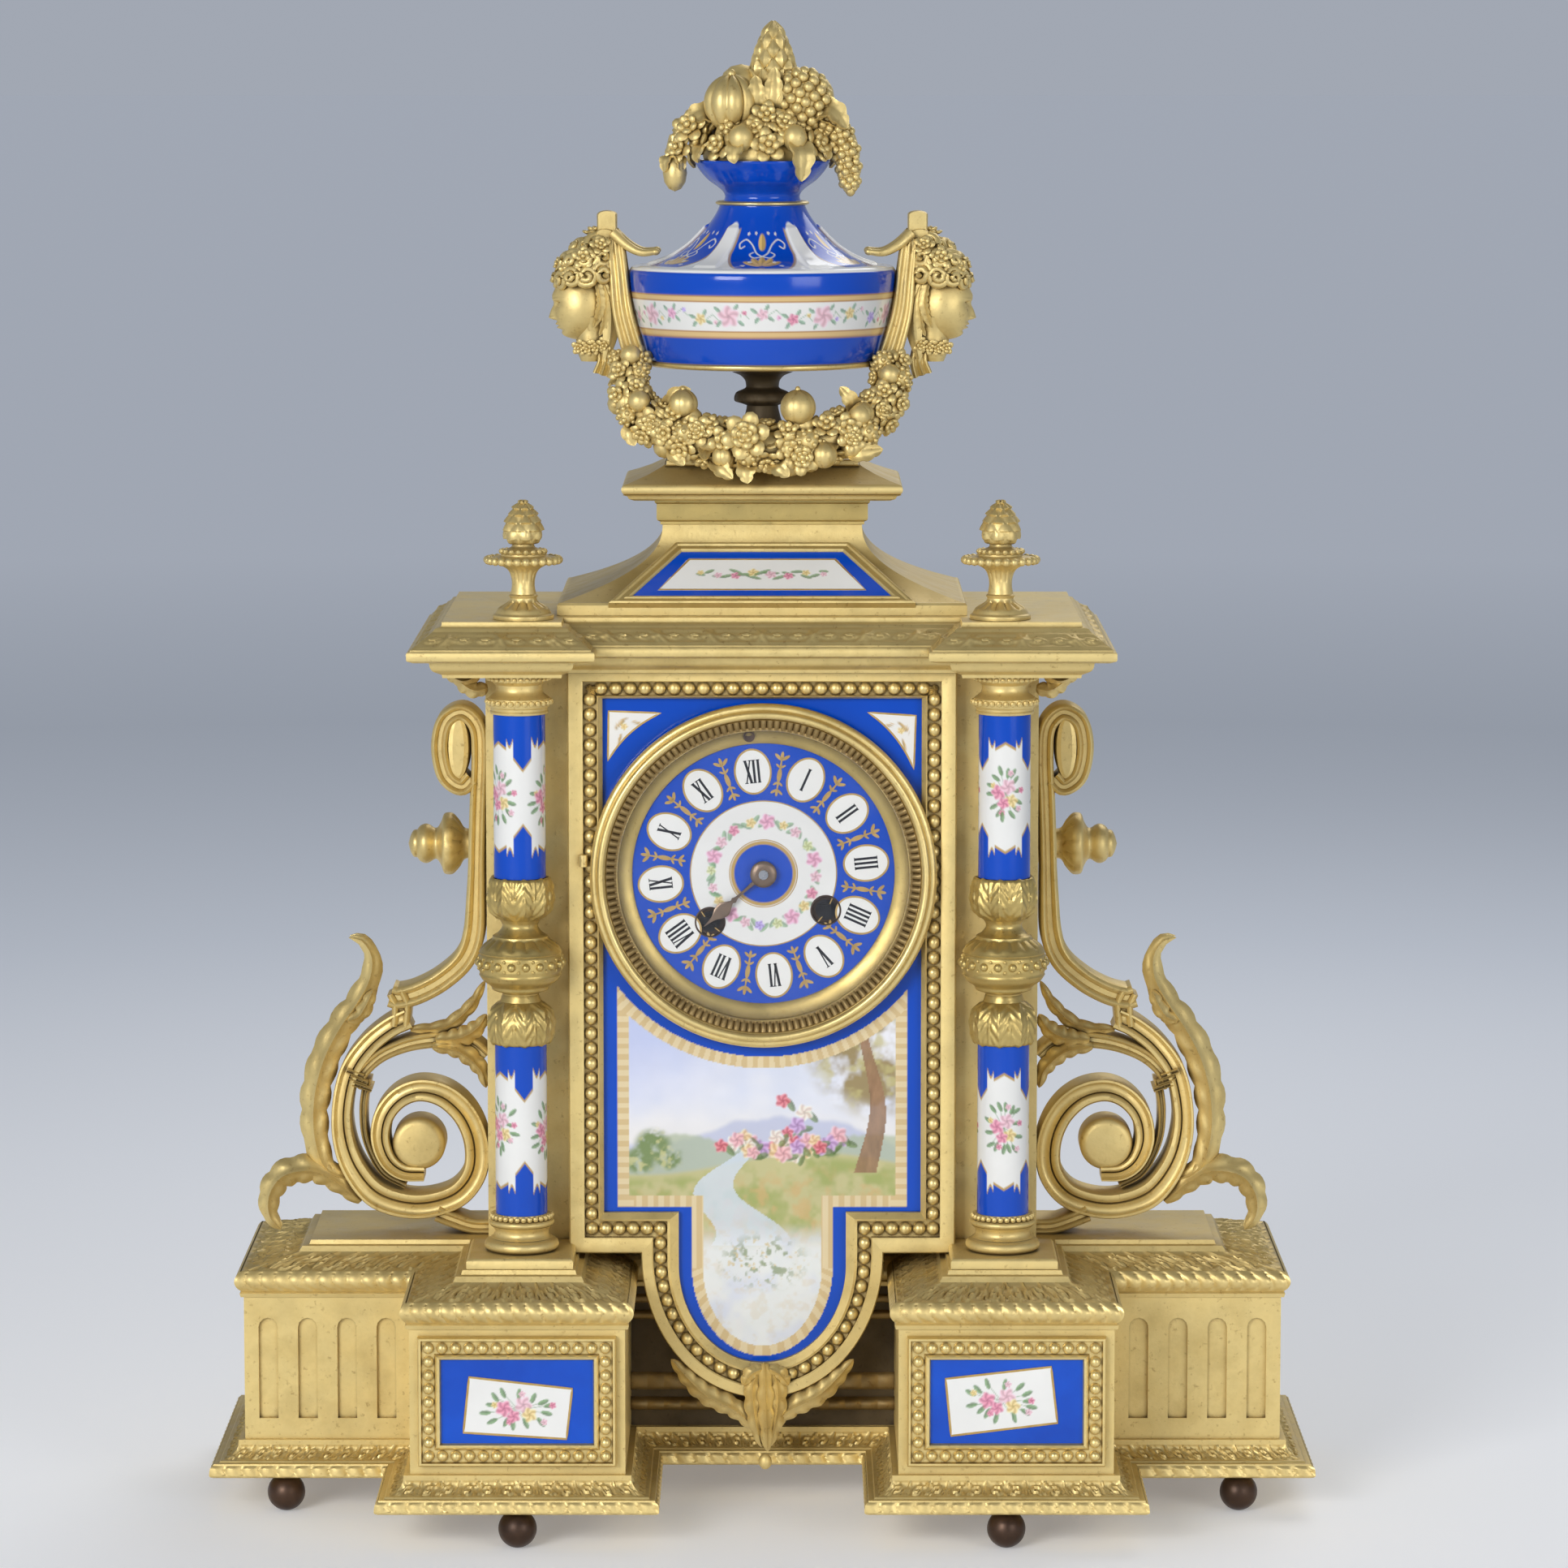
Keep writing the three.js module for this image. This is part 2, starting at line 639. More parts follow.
function hingeLugs() {
  const [x, y] = bezelHinge();
  const reach = 1.5 * HINGE_KNUCKLE_LENGTH;
  const lugs = [-1, 1].flatMap((side) => {
    const z0 = dialZ + (side > 0 ? HINGE_KNUCKLE_LENGTH / 2 + CLEARANCE : -reach);
    const z1 = dialZ + (side > 0 ? reach : -HINGE_KNUCKLE_LENGTH / 2 - CLEARANCE);
    const foot = block([x - 1, y, z0], [x + 1, frameFront + 1, z1]);
    return [rodUp(HINGE_KNUCKLE_RADIUS, z0, z1, [x, y]), foot];
  });
  return [...lugs, rodUp(HINGE_PIN_RADIUS, dialZ - reach, dialZ + reach, [x, y])];
}

// The acanthus leaf that hangs from the frame's foot
function pendant() {
  const foot = baseTop - TONGUE_DROP;
  const half = [
    [0, foot + 9],
    [5, foot + 5],
    [7, foot - 1],
    [27, foot + 9],
    [22, foot + 1],
    [12, foot - 6],
    [6, foot - 11],
    [3.5, foot - 16],
    [0, foot - PENDANT_DROP],
  ];
  const other = half.slice(1, -1).map(([x, z]) => [-x, z]).reverse();
  return standing(shapeOf([...half, ...other].reverse()), frameFront - 1, frameFront + 4);
}

function frontFrame() {
  const plate = standing(shapeOf(frameOutline()), frameFront, BODY_FRONT);
  const opening = standing(shapeOf(openingOutline()), frameFront - 1, trayFront);
  const bore = rodBack(PLATE_RADIUS + 1, frameFront - 1, BODY_FRONT + 1, [DIAL_X, dialZ], 32);
  return join(cut(plate, opening, bore), pendant(), ...hingeLugs());
}

function frontPanel() {
  const plate = standing(shapeOf(openingOutline(CLEARANCE)), panelFront, panelFront + PANEL_THICKNESS);
  return cut(plate, rodBack(PLATE_RADIUS + 1, panelFront - 1, trayFront + 1, [DIAL_X, dialZ], 32));
}

function dial() {
  const plate = turnedBack(
    [[0, dialFront], [DIAL_RADIUS, dialFront], [DIAL_RADIUS, dialBack], [0, dialBack]],
    32,
    [DIAL_X, dialZ],
  );
  const bore = (radius, place, segments) => {
    return rodBack(radius, dialFront - 1, dialBack + 1, place, segments);
  };
  return cut(
    plate,
    bore(WINDING_HOLE_RADIUS, leftWinder, 16),
    bore(WINDING_HOLE_RADIUS, rightWinder, 16),
    bore(HOUR_PIPE_RADIUS + CLEARANCE, onDial(0, 0), 16),
    bore(REGULATOR_RADIUS + CLEARANCE, onDial(0, REGULATOR_RISE), 8),
  );
}

function dialSurround() {
  const inner = DIAL_SIGHT_RADIUS;
  const lip = DIAL_RADIUS + CLEARANCE;
  const ring = turnedBack(
    [
      [inner, surroundFront],
      [SURROUND_RADIUS, surroundFront],
      [SURROUND_RADIUS, surroundBack],
      [lip, surroundBack],
      [lip, dialFront - CLEARANCE],
      [inner, dialFront - CLEARANCE],
      [inner, surroundFront],
    ],
    32,
    [DIAL_X, dialZ],
  );
  return cut(ring, rodBack(REGULATOR_RADIUS + 0.5, surroundFront - 1, dialBack, onDial(0, REGULATOR_RISE)));
}

// The bezel's hinge axis, at the left edge of its ring
function bezelHinge() {
  return [DIAL_X - BEZEL_RADIUS - HINGE_KNUCKLE_RADIUS - CLEARANCE, bezelBack - HINGE_KNUCKLE_RADIUS];
}

function knuckle([x, y], length, towards, ringRadius) {
  const half = length / 2 - CLEARANCE;
  const bore = HINGE_PIN_RADIUS + CLEARANCE;
  const barrel = cut(
    join(
      rodUp(HINGE_KNUCKLE_RADIUS, dialZ - half, dialZ + half, [x, y]),
      block([x, y - 0.8, dialZ - half], [x + towards * ringRadius, y + 0.8, dialZ + half]),
    ),
    rodUp(bore, dialZ - length, dialZ + length, [x, y]),
  );
  return barrel;
}

function bezel() {
  const r = BEZEL_RADIUS;
  const lip = SURROUND_RADIUS - 0.4;
  const ring = turnedBack(
    [
      [BEZEL_BORE_RADIUS, bezelFront + 0.6],
      [BEZEL_BORE_RADIUS + 2.6, bezelFront],
      [BEZEL_BORE_RADIUS + 3.2, bezelFront + 1],
      [r - 2.4, bezelFront + 0.8],
      [r, bezelFront + 3],
      [r, bezelBack],
      [lip, bezelBack],
      [lip, surroundFront - CLEARANCE],
      [BEZEL_BORE_RADIUS, surroundFront - CLEARANCE],
      [BEZEL_BORE_RADIUS, bezelFront + 0.6],
    ],
    32,
    [DIAL_X, dialZ],
  );
  return join(ring, knuckle(bezelHinge(), HINGE_KNUCKLE_LENGTH, 1, 4));
}

function bezelGlass() {
  const r = BEZEL_BORE_RADIUS - CLEARANCE;
  const back = surroundFront - 1.4;
  const t = GLASS_THICKNESS;
  const profile = [
    [0, back - GLASS_DOME - t],
    [0.55 * r, back - 0.7 * GLASS_DOME - t],
    [r, back - t],
    [r, back],
    [0.55 * r, back - 0.7 * GLASS_DOME],
    [0, back - GLASS_DOME],
  ];
  return turnedBack(profile, 24, [DIAL_X, dialZ]);
}

function hourHand() {
  const inner = HOUR_PIPE_RADIUS;
  const hub = tubeBack(HAND_HUB_RADIUS, inner - 0.6, handFront, handBack, onDial(0, 0), 20);
  const length = HOUR_HAND_LENGTH;
  const blade = shapeOf([
    [-0.6, HAND_HUB_RADIUS - 0.6],
    [0.6, HAND_HUB_RADIUS - 0.6],
    [0.6, 0.55 * length],
    [2.6, 0.68 * length],
    [2, 0.8 * length],
    [0, length],
    [-2, 0.8 * length],
    [-2.6, 0.68 * length],
    [-0.6, 0.55 * length],
  ]);
  const turn = THREE.MathUtils.degToRad(HOUR_HAND_ANGLE);
  const pointer = standing(blade, handFront, handBack).rotateY(turn).translate(DIAL_X, 0, dialZ);
  return join(hub, pointer);
}

// Movement: two round plates with four pillars riveted to the front one
function frontPlate() {
  const centre = onDial(0, 0);
  const plate = rodBack(PLATE_RADIUS, frontPlateFront, frontPlateBack, centre, 32);
  const pillars = PILLAR_ANGLES.map((degrees) => {
    const angle = THREE.MathUtils.degToRad(degrees);
    const place = onDial(PILLAR_CIRCLE * Math.cos(angle), PILLAR_CIRCLE * Math.sin(angle));
    return rodBack(PILLAR_RADIUS, frontPlateBack - 1, backPlateFront, place, 10);
  });
  const bore = (radius, place) => {
    return rodBack(radius + CLEARANCE, frontPlateFront - 1, frontPlateBack + 1, place);
  };
  const bores = [
    bore(WINDER_RADIUS, leftWinder),
    bore(WINDER_RADIUS, rightWinder),
    bore(CANNON_RADIUS, centre),
    bore(REGULATOR_RADIUS, onDial(0, REGULATOR_RISE)),
    bore(ARBOR_RADIUS, onDial(0, ANCHOR_RISE)),
    bore(ARBOR_RADIUS, onDial(0, ESCAPE_RISE)),
  ];
  return cut(join(plate, ...pillars), ...bores);
}

function bellCentre() {
  return onDial(BELL_CENTRE_X, BELL_CENTRE_Z);
}

// The post that carries the bell, and the cock that the pendulum hangs from
function backPlateFittings() {
  const crown = bellMouth + BELL_HEIGHT;
  const post = rodBack(2.2, backPlateBack - 1, crown - BELL_WALL - CLEARANCE, bellCentre(), 10);
  const stud = rodBack(BELL_STUD_RADIUS, backPlateBack, crown + 2.5, bellCentre(), 10);
  const [x, z] = onDial(0, ANCHOR_RISE);
  const cock = block([x - 6, backPlateBack - 1, z + 4], [x + 6, pendulumY + 2, z + 7]);
  return [post, stud, cock];
}

function backPlate() {
  const plate = rodBack(PLATE_RADIUS - 1, backPlateFront + CLEARANCE, backPlateBack, onDial(0, 0), 32);
  const bore = (radius, place, back = backPlateBack + 1) => {
    return rodBack(radius + CLEARANCE, backPlateFront - 1, back, place);
  };
  const bores = [
    bore(WINDER_RADIUS, leftWinder),
    bore(WINDER_RADIUS, rightWinder),
    bore(ARBOR_RADIUS, onDial(0, 0)),
    bore(ARBOR_RADIUS, onDial(0, ANCHOR_RISE), pendulumY + 6),
    bore(ARBOR_RADIUS, onDial(0, ESCAPE_RISE)),
    bore(REGULATOR_RADIUS, onDial(0, REGULATOR_RISE), pendulumY + 6),
    bore(ARBOR_RADIUS, onDial(HAMMER_PIVOT_X, HAMMER_PIVOT_Z)),
  ];
  return cut(join(plate, ...backPlateFittings()), ...bores);
}

// A mainspring barrel with its great wheel; its bore turns on the winding arbor
function barrel(place) {
  const start = frontPlateBack + 3;
  const end = start + BARREL_LENGTH;
  const bore = WINDER_RADIUS + CLEARANCE;
  const profile = [
    [bore, start],
    [BARREL_RADIUS, start],
    [BARREL_RADIUS, end - 2.4],
    [BARREL_WHEEL_RADIUS, end - 2.4],
    [BARREL_WHEEL_RADIUS, end],
    [bore, end],
    [bore, start],
  ];
  return turnedBack(profile, 18, place);
}

function winder(place) {
  const [x, z] = place;
  const half = WINDER_SQUARE / 2;
  const arbor = rodBack(WINDER_RADIUS, frontPlateFront - 0.6, backPlateBack + 1.2, place, 16);
  const square = block([-half, dialFront - WINDER_PROUD, -half], [half, frontPlateFront, half]);
  return join(arbor, square.rotateY(-THREE.MathUtils.degToRad(DIAL_TURN)).translate(x, 0, z));
}

function minuteArbor() {
  const centre = onDial(0, 0);
  const wheelY = frontPlateBack + 22;
  return join(
    rodBack(CANNON_RADIUS, arborTip, frontPlateBack + 2, centre, 12),
    rodBack(ARBOR_RADIUS, frontPlateBack, backPlateBack + 0.8, centre, 12),
    rodBack(CENTRE_WHEEL_RADIUS, wheelY, wheelY + 1.4, centre, 30),
  );
}

function hourWheel() {
  const centre = onDial(0, 0);
  const inner = CANNON_RADIUS + CLEARANCE;
  const back = frontPlateFront - CLEARANCE;
  const pipe = tubeBack(HOUR_PIPE_RADIUS - 0.9, inner, handFront - 0.4, back, centre, 16);
  const collar = tubeBack(HOUR_PIPE_RADIUS - 0.3, inner, handBack + CLEARANCE, handBack + 1.2, centre, 16);
  return join(pipe, collar);
}

function escapeWheel() {
  const place = onDial(0, ESCAPE_RISE);
  const [x, z] = place;
  const y = backPlateFront - ESCAPE_SETBACK;
  const tips = ellipse(place, ESCAPE_WHEEL_RADIUS, ESCAPE_WHEEL_RADIUS, 2 * ESCAPE_TEETH);
  const points = tips.map((tip, index) => {
    return index % 2 ? [x + 0.8 * (tip[0] - x), z + 0.8 * (tip[1] - z)] : tip;
  });
  const arbor = rodBack(ARBOR_RADIUS, frontPlateFront + 0.4, backPlateBack - 0.4, place, 10);
  return join(standing(shapeOf(points), y, y + 1.2), arbor);
}

// The pallets end a little outside the escape wheel's teeth, where its tangents meet the pivot
function anchor() {
  const place = onDial(0, ANCHOR_RISE);
  const [x, z] = place;
  const y = backPlateFront - ESCAPE_SETBACK;
  const drop = (ANCHOR_RISE - ESCAPE_RISE) * 0.646;
  const height = ANCHOR_RISE - ESCAPE_RISE - drop;
  const inner = Math.sqrt((ESCAPE_WHEEL_RADIUS + PALLET_GAP) ** 2 - height ** 2);
  const outer = inner + PALLET_THICKNESS;
  const arms = shapeOf([
    [x - outer, z - drop],
    [x - inner, z - drop],
    [x - inner + 1.1, z - 2],
    [x + inner - 1.1, z - 2],
    [x + inner, z - drop],
    [x + outer, z - drop],
    [x + outer - 2, z + 2.2],
    [x - outer + 2, z + 2.2],
  ]);
  const crutch = block([x - 1, backPlateBack + 1, z - 26], [x + 1, backPlateBack + 2.2, z + 1]);
  const fork = block([x - 1, backPlateBack + 1, z - 26], [x + 1, pendulumY - 1.2, z - 24]);
  return join(
    rodBack(ARBOR_RADIUS, frontPlateFront + 0.4, backPlateBack + 2.2, place, 10),
    standing(arms, y, y + 1.6),
    crutch,
    fork,
  );
}

function pendulum() {
  const [x, z] = onDial(0, ANCHOR_RISE);
  const rod = block([x - 1, pendulumY - 0.7, z - PENDULUM_LENGTH], [x + 1, pendulumY + 0.7, z + 3.6]);
  const half = BOB_THICKNESS / 2;
  const bob = turnedBack(
    [
      [0, pendulumY - half],
      [0.7 * BOB_RADIUS, pendulumY - 0.75 * half],
      [BOB_RADIUS, pendulumY - 0.2 * half],
      [BOB_RADIUS, pendulumY + 0.2 * half],
      [0.7 * BOB_RADIUS, pendulumY + 0.75 * half],
      [0, pendulumY + half],
    ],
    24,
    [x, z - PENDULUM_LENGTH],
  );
  const bobFoot = z - PENDULUM_LENGTH - BOB_RADIUS;
  const nut = rodUp(2.6, bobFoot - 3.4, bobFoot + 0.8, [x, pendulumY], 10);
  return join(rod, bob, nut);
}

function regulator() {
  const place = onDial(0, REGULATOR_RISE);
  return join(
    rodBack(REGULATOR_RADIUS, surroundFront + 0.8, pendulumY, place, 10),
    rodBack(2.6, backPlateBack + 0.6, backPlateBack + 2.6, place, 14),
  );
}

// The hammer's head rests a little away from the bell's rim, on the side of its pivot
function hammer() {
  const [x, z] = onDial(HAMMER_PIVOT_X, HAMMER_PIVOT_Z);
  const [bellX, headZ] = bellCentre();
  const headX = bellX - BELL_RADIUS - HAMMER_HEAD_RADIUS - HAMMER_REST_GAP;
  const y = bellMouth + 2;
  const middle = [(x + headX) / 2 - 1.5, y, (z + headZ) / 2];
  return join(
    rodBack(ARBOR_RADIUS, backPlateFront - 3, y + 1.4, [x, z], 10),
    bar([[x, y, z], middle, [headX, y, headZ]], 1.1, 4, 6),
    rodBack(HAMMER_HEAD_RADIUS, y - 2.5, y + 2.5, [headX, headZ], 12),
  );
}

function bell() {
  const r = BELL_RADIUS;
  const h = BELL_HEIGHT;
  const w = BELL_WALL;
  const y = bellMouth;
  const bore = BELL_STUD_RADIUS + CLEARANCE;
  const profile = [
    [r - w, y],
    [r, y],
    [0.9 * r, y + 0.5 * h],
    [0.6 * r, y + h - 1],
    [bore, y + h],
    [bore, y + h - w],
    [0.55 * r, y + h - w - 1.2],
    [0.86 * r - w, y + 0.45 * h],
    [r - w, y],
  ];
  return turnedBack(profile, 20, bellCentre());
}

// The round door in the back of the case, hinged on its own axis beside the bore
function doorHinge() {
  return [DIAL_X - DOOR_RADIUS - HINGE_KNUCKLE_RADIUS, BODY_BACK + HINGE_KNUCKLE_RADIUS + CLEARANCE];
}

function backDoor() {
  const y0 = BODY_BACK + CLEARANCE;
  const y1 = y0 + DOOR_THICKNESS;
  const rim = turnedBack(
    [
      [0, y0],
      [DOOR_RADIUS, y0],
      [DOOR_RADIUS, y1],
      [DOOR_RADIUS - 5, y1 + 1.4],
      [DOOR_RADIUS - 9, y1],
      [0, y1],
    ],
    32,
    [DIAL_X, dialZ],
  );
  return join(rim, knuckle(doorHinge(), HINGE_KNUCKLE_LENGTH, 1, 3), doorKnob());
}

function backHinge() {
  const [x, y] = doorHinge();
  const reach = 1.5 * HINGE_KNUCKLE_LENGTH;
  return [-1, 1].flatMap((side) => {
    const near = dialZ + side * (HINGE_KNUCKLE_LENGTH / 2 + CLEARANCE);
    const far = dialZ + side * reach;
    const [z0, z1] = [Math.min(near, far), Math.max(near, far)];
    return [rodUp(HINGE_KNUCKLE_RADIUS, z0, z1, [x, y]), block([x - 1, BODY_BACK - 1, z0], [x + 1, y, z1])];
  });
}

function doorKnob() {
  const y = BODY_BACK + CLEARANCE + DOOR_THICKNESS;
  const profile = [
    [0, y - 1],
    [0.6 * KNOB_RADIUS, y - 1],
    [0.4 * KNOB_RADIUS, y + 3],
    [KNOB_RADIUS, y + 5],
    [0.8 * KNOB_RADIUS, y + 7.5],
    [0, y + 8],
  ];
  return turnedBack(profile, 16, [DIAL_X + 0.72 * DOOR_RADIUS, dialZ]);
}

// Columns: each level is given from the top of the base
function columnBase() {
  const half = ABACUS_SIZE / 2;
  const [x, y] = [COLUMN_X, COLUMN_Y];
  const r = COLUMN_BASE_RADIUS;
  const h = COLUMN_BASE_HEIGHT;
  const z = columnLevels().base;
  const abacus = block([x - half, y - half, baseTop], [x + half, y + half, z]);
  const profile = [
    [0, z - 1],
    [0.94 * r, z - 1],
    [0.94 * r, z],
    [r, z + 0.08 * h],
    [r, z + 0.3 * h],
    [0.82 * r, z + 0.42 * h],
    [0.8 * r, z + 0.6 * h],
    [0.87 * r, z + 0.75 * h],
    [0.8 * r, z + h],
    [0, z + h],
  ];
  const frameCorner = block(
    [-BODY_WIDTH, frameFront - CLEARANCE, baseTop - 1],
    [FRAME_WIDTH / 2 + CLEARANCE, BODY_FRONT, z + 1],
  );
  return cut(join(abacus, turnedUp(profile, 16, [x, y, 0])), rodBore(baseTop - 1, z + h + 1), frameCorner);
}

function columnLevels() {
  const base = baseTop + ABACUS_HEIGHT;
  const lowerSleeve = base + COLUMN_BASE_HEIGHT;
  const knop = lowerSleeve + LOWER_SLEEVE_HEIGHT;
  const upperSleeve = knop + KNOP_HEIGHT;
  const capital = upperSleeve + UPPER_SLEEVE_HEIGHT;
  return { base, lowerSleeve, knop, upperSleeve, capital };
}

function rodBore(z0, z1) {
  return rodUp(ROD_RADIUS + CLEARANCE, z0, z1, [COLUMN_X, COLUMN_Y]);
}

function sleeve(z0, z1) {
  const profile = [
    [SLEEVE_BORE_RADIUS, z0],
    [SLEEVE_RADIUS, z0],
    [SLEEVE_RADIUS, z1],
    [SLEEVE_BORE_RADIUS, z1],
    [SLEEVE_BORE_RADIUS, z0],
  ];
  return turnedUp(profile, 16, [COLUMN_X, COLUMN_Y, 0]);
}

function lowerSleeve() {
  const { lowerSleeve: z0, knop: z1 } = columnLevels();
  return sleeve(z0, z1);
}

function upperSleeve() {
  const { upperSleeve: z0, capital: z1 } = columnLevels();
  return sleeve(z0, z1);
}

function knop() {
  const z = columnLevels().knop;
  const h = KNOP_HEIGHT;
  const bore = ROD_RADIUS + CLEARANCE;
  const profile = [
    [bore, z],
    [LEAF_CUP_RADIUS, z],
    [LEAF_CUP_RADIUS, z + 0.12 * h],
    [0.75 * LEAF_CUP_RADIUS, z + 0.24 * h],
    [KNOP_NECK_RADIUS, z + 0.3 * h],
    [0.75 * KNOP_RADIUS, z + 0.36 * h],
    [KNOP_RADIUS, z + 0.46 * h],
    [KNOP_RADIUS, z + 0.54 * h],
    [0.75 * KNOP_RADIUS, z + 0.64 * h],
    [KNOP_NECK_RADIUS, z + 0.7 * h],
    [0.75 * LEAF_CUP_RADIUS, z + 0.78 * h],
    [LEAF_CUP_RADIUS, z + 0.9 * h],
    [LEAF_CUP_RADIUS, z + h],
    [bore, z + h],
    [bore, z],
  ];
  return turnedUp(profile, 16, [COLUMN_X, COLUMN_Y, 0]);
}

// A capital carries the rod that draws its column together, with a nut under the base's cap
function capital() {
  const z = columnLevels().capital;
  const h = bodyTop - z;
  const r = CAPITAL_RADIUS;
  const profile = [
    [0, z],
    [0.82 * r, z],
    [r, z + 0.12 * h],
    [r, z + 0.3 * h],
    [0.72 * r, z + 0.42 * h],
    [0.7 * r, z + 0.62 * h],
    [r, z + 0.8 * h],
    [r, z + h],
    [0, z + h],
  ];
  const place = [COLUMN_X, COLUMN_Y];
  return join(
    turnedUp(profile, 16, [...place, 0]),
    rodUp(ROD_RADIUS, dieTop - ROD_NUT_HEIGHT - 2, corniceTop - CORNICE_HEIGHT / 2, place, 10),
    rodUp(ROD_NUT_RADIUS, dieTop - ROD_NUT_HEIGHT, dieTop - CLEARANCE, place, 6),
  );
}

// The cornice breaks forward over each column
function cornicePlan(offset) {
  const right = [
    [RESSAUT_INNER - offset, CORNICE_FRONT - offset],
    [RESSAUT_INNER - offset, RESSAUT_FRONT - offset],
    [CORNICE_SIDE + offset, RESSAUT_FRONT - offset],
    [CORNICE_SIDE + offset, CORNICE_BACK + offset],
  ];
  return [...right, ...right.map(([x, y]) => [-x, y]).reverse()];
}

function cornice() {
  const o = CORNICE_OVERHANG;
  const h = CORNICE_HEIGHT;
  const levels = [
    [0, 0],
    [0.2 * o, 0.08 * h],
    [0.35 * o, 0.22 * h],
    [0.85 * o, 0.31 * h],
    [o, 0.36 * h],
    [o, 0.52 * h],
    [0.86 * o, 0.56 * h],
    [0.28 * o, 0.86 * h],
    [0, 0.94 * h],
    [0, h],
  ];
  const solid = moulding(cornicePlan, levels.map(([offset, z]) => [offset, bodyTop + z]));
  const rodEnd = corniceTop - CORNICE_HEIGHT / 3;
  const bores = [-1, 1].map((side) => {
    return rodUp(ROD_RADIUS + CLEARANCE, bodyTop - 1, rodEnd, [side * COLUMN_X, COLUMN_Y]);
  });
  const urnBore = rodUp(ROD_RADIUS + CLEARANCE, corniceTop - 2 - CLEARANCE, corniceTop + 1, [0, URN_Y]);
  return cut(solid, ...bores, urnBore);
}

// The hollow-curved roof that carries the urn's platform
function roofPlan(width, depth) {
  return rectangle([-width / 2, width / 2], [ROOF_Y - depth / 2, ROOF_Y + depth / 2]);
}

function roofLevels() {
  const levels = [[ROOF_WIDTH, ROOF_DEPTH, corniceTop], [ROOF_WIDTH, ROOF_DEPTH, roofStripTop]];
  const throatWidth = NECK_WIDTH - 4;
  const throatDepth = NECK_DEPTH - 4;
  for (const share of [0, 0.12, 0.28, 0.48, 0.72, 1]) {
    const flare = (1 - share) ** ROOF_CURVE;
    const width = throatWidth + (ROOF_WIDTH - 2 - throatWidth) * flare;
    const depth = throatDepth + (ROOF_DEPTH - 2 - throatDepth) * flare;
    levels.push([width, depth, roofStripTop + ROOF_HEIGHT * share]);
  }
  levels.push(
    [NECK_WIDTH - 2, NECK_DEPTH - 2, roofTop],
    [NECK_WIDTH, NECK_DEPTH, neckTop - 0.6],
    [PLATFORM_WIDTH - 8, PLATFORM_DEPTH - 8, neckTop],
    [PLATFORM_WIDTH - 4, PLATFORM_DEPTH - 4, neckTop + 1.8],
    [PLATFORM_WIDTH, PLATFORM_DEPTH, neckTop + 2],
    [PLATFORM_WIDTH, PLATFORM_DEPTH, platformTop],
    [STEP_WIDTH + 2, STEP_DEPTH + 2, stepTop - 1.8],
    [STEP_WIDTH, STEP_DEPTH, stepTop - 1.7],
    [STEP_WIDTH, STEP_DEPTH, stepTop],
  );
  return levels;
}

// Corners of the leaning plaque: low and high, set back from the roof's strip to its throat
function plaqueLine() {
  const front = ROOF_Y - ROOF_DEPTH / 2;
  const low = [front + 2.4, roofStripTop + ROOF_PLAQUE_BOTTOM];
  const lean = (ROOF_DEPTH - NECK_DEPTH) / 2;
  const high = [front + 0.86 * lean, low[1] + ROOF_PLAQUE_HEIGHT];
  return { low, high };
}

// A slab with a trapezoid face, leaning along the roof's front
function leaningSlab(lowWidth, highWidth, out, thickness, grow) {
  const { low, high } = plaqueLine();
  const slope = new THREE.Vector2(high[0] - low[0], high[1] - low[1]);
  const length = slope.length();
  const along = slope.clone().divideScalar(length);
  const face = [
    [-lowWidth / 2 - grow, -grow],
    [lowWidth / 2 + grow, -grow],
    [highWidth / 2 + grow, length + grow],
    [-highWidth / 2 - grow, length + grow],
  ];
  const slab = new THREE.ExtrudeGeometry(shapeOf(face), { depth: thickness, bevelEnabled: false });
  slab.translate(0, 0, out - thickness);
  const lean = new THREE.Matrix4().makeBasis(
    new THREE.Vector3(1, 0, 0),
    new THREE.Vector3(0, along.x, along.y),
    new THREE.Vector3(0, -along.y, along.x),
  );
  return slab.applyMatrix4(lean).translate(0, low[0], low[1]);
}

function roof() {
  const levels = roofLevels();
  const outline = (index) => roofPlan(levels[index][0], levels[index][1])(0);
  const solid = moulding(outline, levels.map((level, index) => [index, level[2]]));
  const bed = leaningSlab(ROOF_PLAQUE_LOW_WIDTH, ROOF_PLAQUE_HIGH_WIDTH, 0.8, 4, 2.6);
  const seat = leaningSlab(
    ROOF_PLAQUE_LOW_WIDTH,
    ROOF_PLAQUE_HIGH_WIDTH,
    6,
    6 + ROOF_PLAQUE_THICKNESS,
    CLEARANCE,
  );
  const bore = rodUp(ROD_RADIUS + CLEARANCE, corniceTop - 1, stepTop + 1, [0, URN_Y]);
  return cut(join(solid, bed), seat, bore);
}

function roofPlaque() {
  const out = 0.4;
  const thickness = ROOF_PLAQUE_THICKNESS + out - CLEARANCE;
  return leaningSlab(ROOF_PLAQUE_LOW_WIDTH, ROOF_PLAQUE_HIGH_WIDTH, out, thickness, 0);
}

